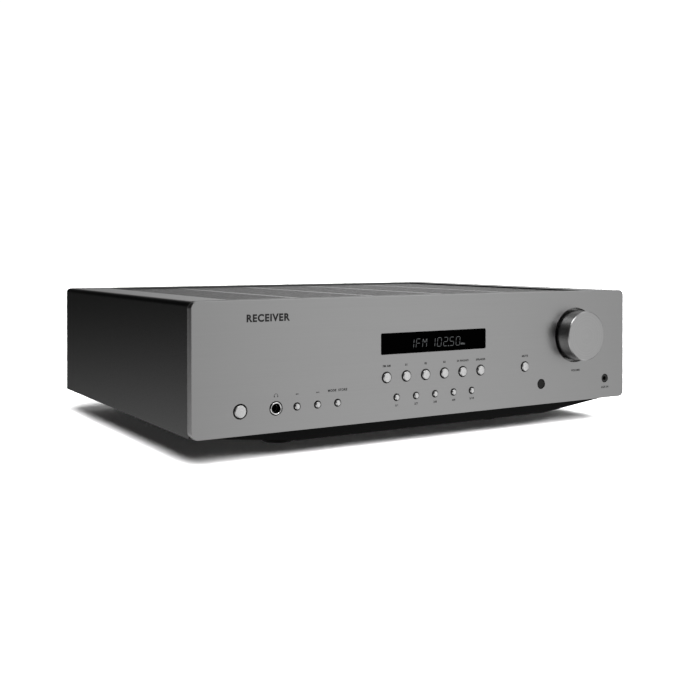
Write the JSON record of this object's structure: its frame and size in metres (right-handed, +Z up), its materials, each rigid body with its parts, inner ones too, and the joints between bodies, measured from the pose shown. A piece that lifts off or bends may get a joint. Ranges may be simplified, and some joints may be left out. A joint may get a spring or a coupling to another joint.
{
  "type": "stereo receiver",
  "caption": "Full-width hi-fi stereo receiver with brushed aluminium front, push buttons, display window, volume knob, vented black cover and rear connectors.",
  "frame": {"origin": "centre of the bounding box, at the underside of the feet", "axes": "+X to the user's right along the front panel, +Y from front to back, +Z up; the front faces -Y"},
  "size_m": [0.43, 0.34, 0.12],
  "materials": {
    "panel_aluminium": "fine horizontal brushing, satin anodised",
    "knob_aluminium": "spun face, satin side",
    "button_satin": "satin silver caps",
    "subframe_plastic": "dark grey moulding",
    "smoked_acrylic": "polished smoked lens",
    "display_glass": "glass display tube",
    "cover_steel": "fine textured black powder coat",
    "base_steel": "black powder coat",
    "rear_steel": "black powder coat",
    "black_plastic": "moulded, lightly textured",
    "chrome_ring": "polished plating",
    "zinc_steel": "zinc plated",
    "foot_rubber": "matt rubber",
    "circuit_board": "solder mask",
    "transformer_winding": "taped winding",
    "heatsink_aluminium": "extruded, black anodised",
    "capacitor_sleeve": "shrink sleeve",
    "terminal_red": "moulded cap",
    "terminal_black": "moulded cap"
  },
  "bodies": {
    "chassis": {"front_panel": "panel_aluminium", "front_subframe": "subframe_plastic", "display_window": "smoked_acrylic", "display_module": "display_glass", "ir_window": "smoked_acrylic", "volume_encoder": "zinc_steel", "headphone_jack": "black_plastic", "headphone_ring": "chrome_ring", "aux_jack": "black_plastic", "front_board": "circuit_board", "base_pan": "base_steel", "top_cover": "cover_steel", "rear_panel": "rear_steel", "toroidal_transformer": "transformer_winding", "transformer_clamp": "zinc_steel", "main_board": "circuit_board", "heatsink": "heatsink_aluminium", "input_board": "circuit_board", "line_sockets": "black_plastic", "tuner_module": "zinc_steel", "speaker_terminals": "black_plastic", "mains_inlet": "black_plastic", "foot_front_left": "foot_rubber", "foot_front_right": "foot_rubber", "foot_rear_left": "foot_rubber", "foot_rear_right": "foot_rubber", "output_transistor_1": "black_plastic", "output_transistor_2": "black_plastic", "output_transistor_3": "black_plastic", "output_transistor_4": "black_plastic", "reservoir_capacitor_left": "capacitor_sleeve", "reservoir_capacitor_right": "capacitor_sleeve"},
    "knob": {"volume_knob": "knob_aluminium", "encoder_shaft": "zinc_steel"},
    "standby_button": {"standby_button": "button_satin"},
    "previous_button": {"previous_button": "button_satin"},
    "next_button": {"next_button": "button_satin"},
    "mode_button": {"mode_button": "button_satin"},
    "source_button_1": {"source_button_1": "button_satin"},
    "source_button_2": {"source_button_2": "button_satin"},
    "source_button_3": {"source_button_3": "button_satin"},
    "source_button_4": {"source_button_4": "button_satin"},
    "source_button_5": {"source_button_5": "button_satin"},
    "source_button_6": {"source_button_6": "button_satin"},
    "preset_button_1": {"preset_button_1": "button_satin"},
    "preset_button_2": {"preset_button_2": "button_satin"},
    "preset_button_3": {"preset_button_3": "button_satin"},
    "preset_button_4": {"preset_button_4": "button_satin"},
    "preset_button_5": {"preset_button_5": "button_satin"},
    "mute_button": {"mute_button": "button_satin"},
    "rocker": {"power_switch_rocker": "black_plastic"},
    "terminal_cap_b_right_plus": {"terminal_cap_b_right_plus": "terminal_red"},
    "terminal_cap_b_right_minus": {"terminal_cap_b_right_minus": "terminal_black"},
    "terminal_cap_b_left_minus": {"terminal_cap_b_left_minus": "terminal_black"},
    "terminal_cap_b_left_plus": {"terminal_cap_b_left_plus": "terminal_red"},
    "terminal_cap_a_right_plus": {"terminal_cap_a_right_plus": "terminal_red"},
    "terminal_cap_a_right_minus": {"terminal_cap_a_right_minus": "terminal_black"},
    "terminal_cap_a_left_minus": {"terminal_cap_a_left_minus": "terminal_black"},
    "terminal_cap_a_left_plus": {"terminal_cap_a_left_plus": "terminal_red"},
    "earth_screw": {"earth_screw": "zinc_steel"}
  },
  "joints": [
    {"name": "volume_turn", "type": "hinge", "parent": "chassis", "child": "knob", "pos_m": [0.1543, -0.17, 0.0807], "axis": [0, 1, 0], "continuous": true},
    {"name": "standby_press", "type": "slide", "parent": "chassis", "child": "standby_button", "axis": [0, 1, 0], "range_m": [0, 0.0008], "stiffness_N_per_m": 800, "springref_m": -0.001},
    {"name": "previous_press", "type": "slide", "parent": "chassis", "child": "previous_button", "axis": [0, 1, 0], "range_m": [0, 0.0008], "stiffness_N_per_m": 800, "springref_m": -0.001},
    {"name": "next_press", "type": "slide", "parent": "chassis", "child": "next_button", "axis": [0, 1, 0], "range_m": [0, 0.0008], "stiffness_N_per_m": 800, "springref_m": -0.001},
    {"name": "mode_press", "type": "slide", "parent": "chassis", "child": "mode_button", "axis": [0, 1, 0], "range_m": [0, 0.0008], "stiffness_N_per_m": 800, "springref_m": -0.001},
    {"name": "source_1_press", "type": "slide", "parent": "chassis", "child": "source_button_1", "axis": [0, 1, 0], "range_m": [0, 0.0008], "stiffness_N_per_m": 800, "springref_m": -0.001},
    {"name": "source_2_press", "type": "slide", "parent": "chassis", "child": "source_button_2", "axis": [0, 1, 0], "range_m": [0, 0.0008], "stiffness_N_per_m": 800, "springref_m": -0.001},
    {"name": "source_3_press", "type": "slide", "parent": "chassis", "child": "source_button_3", "axis": [0, 1, 0], "range_m": [0, 0.0008], "stiffness_N_per_m": 800, "springref_m": -0.001},
    {"name": "source_4_press", "type": "slide", "parent": "chassis", "child": "source_button_4", "axis": [0, 1, 0], "range_m": [0, 0.0008], "stiffness_N_per_m": 800, "springref_m": -0.001},
    {"name": "source_5_press", "type": "slide", "parent": "chassis", "child": "source_button_5", "axis": [0, 1, 0], "range_m": [0, 0.0008], "stiffness_N_per_m": 800, "springref_m": -0.001},
    {"name": "source_6_press", "type": "slide", "parent": "chassis", "child": "source_button_6", "axis": [0, 1, 0], "range_m": [0, 0.0008], "stiffness_N_per_m": 800, "springref_m": -0.001},
    {"name": "preset_1_press", "type": "slide", "parent": "chassis", "child": "preset_button_1", "axis": [0, 1, 0], "range_m": [0, 0.0008], "stiffness_N_per_m": 800, "springref_m": -0.001},
    {"name": "preset_2_press", "type": "slide", "parent": "chassis", "child": "preset_button_2", "axis": [0, 1, 0], "range_m": [0, 0.0008], "stiffness_N_per_m": 800, "springref_m": -0.001},
    {"name": "preset_3_press", "type": "slide", "parent": "chassis", "child": "preset_button_3", "axis": [0, 1, 0], "range_m": [0, 0.0008], "stiffness_N_per_m": 800, "springref_m": -0.001},
    {"name": "preset_4_press", "type": "slide", "parent": "chassis", "child": "preset_button_4", "axis": [0, 1, 0], "range_m": [0, 0.0008], "stiffness_N_per_m": 800, "springref_m": -0.001},
    {"name": "preset_5_press", "type": "slide", "parent": "chassis", "child": "preset_button_5", "axis": [0, 1, 0], "range_m": [0, 0.0008], "stiffness_N_per_m": 800, "springref_m": -0.001},
    {"name": "mute_press", "type": "slide", "parent": "chassis", "child": "mute_button", "axis": [0, 1, 0], "range_m": [0, 0.0008], "stiffness_N_per_m": 800, "springref_m": -0.001},
    {"name": "power_rock", "type": "hinge", "parent": "chassis", "child": "rocker", "pos_m": [-0.172, 0.1608, 0.074], "axis": [1, 0, 0], "range_deg": [-16, 0]},
    {"name": "terminal_b_right_plus_unscrew", "type": "hinge", "parent": "chassis", "child": "terminal_cap_b_right_plus", "pos_m": [-0.076, 0.16, 0.0505], "axis": [0, 1, 0], "range_deg": [0, 720]},
    {"name": "terminal_b_right_minus_unscrew", "type": "hinge", "parent": "chassis", "child": "terminal_cap_b_right_minus", "pos_m": [-0.048, 0.16, 0.0505], "axis": [0, 1, 0], "range_deg": [0, 720]},
    {"name": "terminal_b_left_minus_unscrew", "type": "hinge", "parent": "chassis", "child": "terminal_cap_b_left_minus", "pos_m": [-0.02, 0.16, 0.0505], "axis": [0, 1, 0], "range_deg": [0, 720]},
    {"name": "terminal_b_left_plus_unscrew", "type": "hinge", "parent": "chassis", "child": "terminal_cap_b_left_plus", "pos_m": [0.008, 0.16, 0.0505], "axis": [0, 1, 0], "range_deg": [0, 720]},
    {"name": "terminal_a_right_plus_unscrew", "type": "hinge", "parent": "chassis", "child": "terminal_cap_a_right_plus", "pos_m": [-0.076, 0.16, 0.0815], "axis": [0, 1, 0], "range_deg": [0, 720]},
    {"name": "terminal_a_right_minus_unscrew", "type": "hinge", "parent": "chassis", "child": "terminal_cap_a_right_minus", "pos_m": [-0.048, 0.16, 0.0815], "axis": [0, 1, 0], "range_deg": [0, 720]},
    {"name": "terminal_a_left_minus_unscrew", "type": "hinge", "parent": "chassis", "child": "terminal_cap_a_left_minus", "pos_m": [-0.02, 0.16, 0.0815], "axis": [0, 1, 0], "range_deg": [0, 720]},
    {"name": "terminal_a_left_plus_unscrew", "type": "hinge", "parent": "chassis", "child": "terminal_cap_a_left_plus", "pos_m": [0.008, 0.16, 0.0815], "axis": [0, 1, 0], "range_deg": [0, 720]},
    {"name": "earth_unscrew", "type": "hinge", "parent": "chassis", "child": "earth_screw", "pos_m": [0.19, 0.165, 0.05], "axis": [0, 1, 0], "range_deg": [0, 720]}
  ]
}
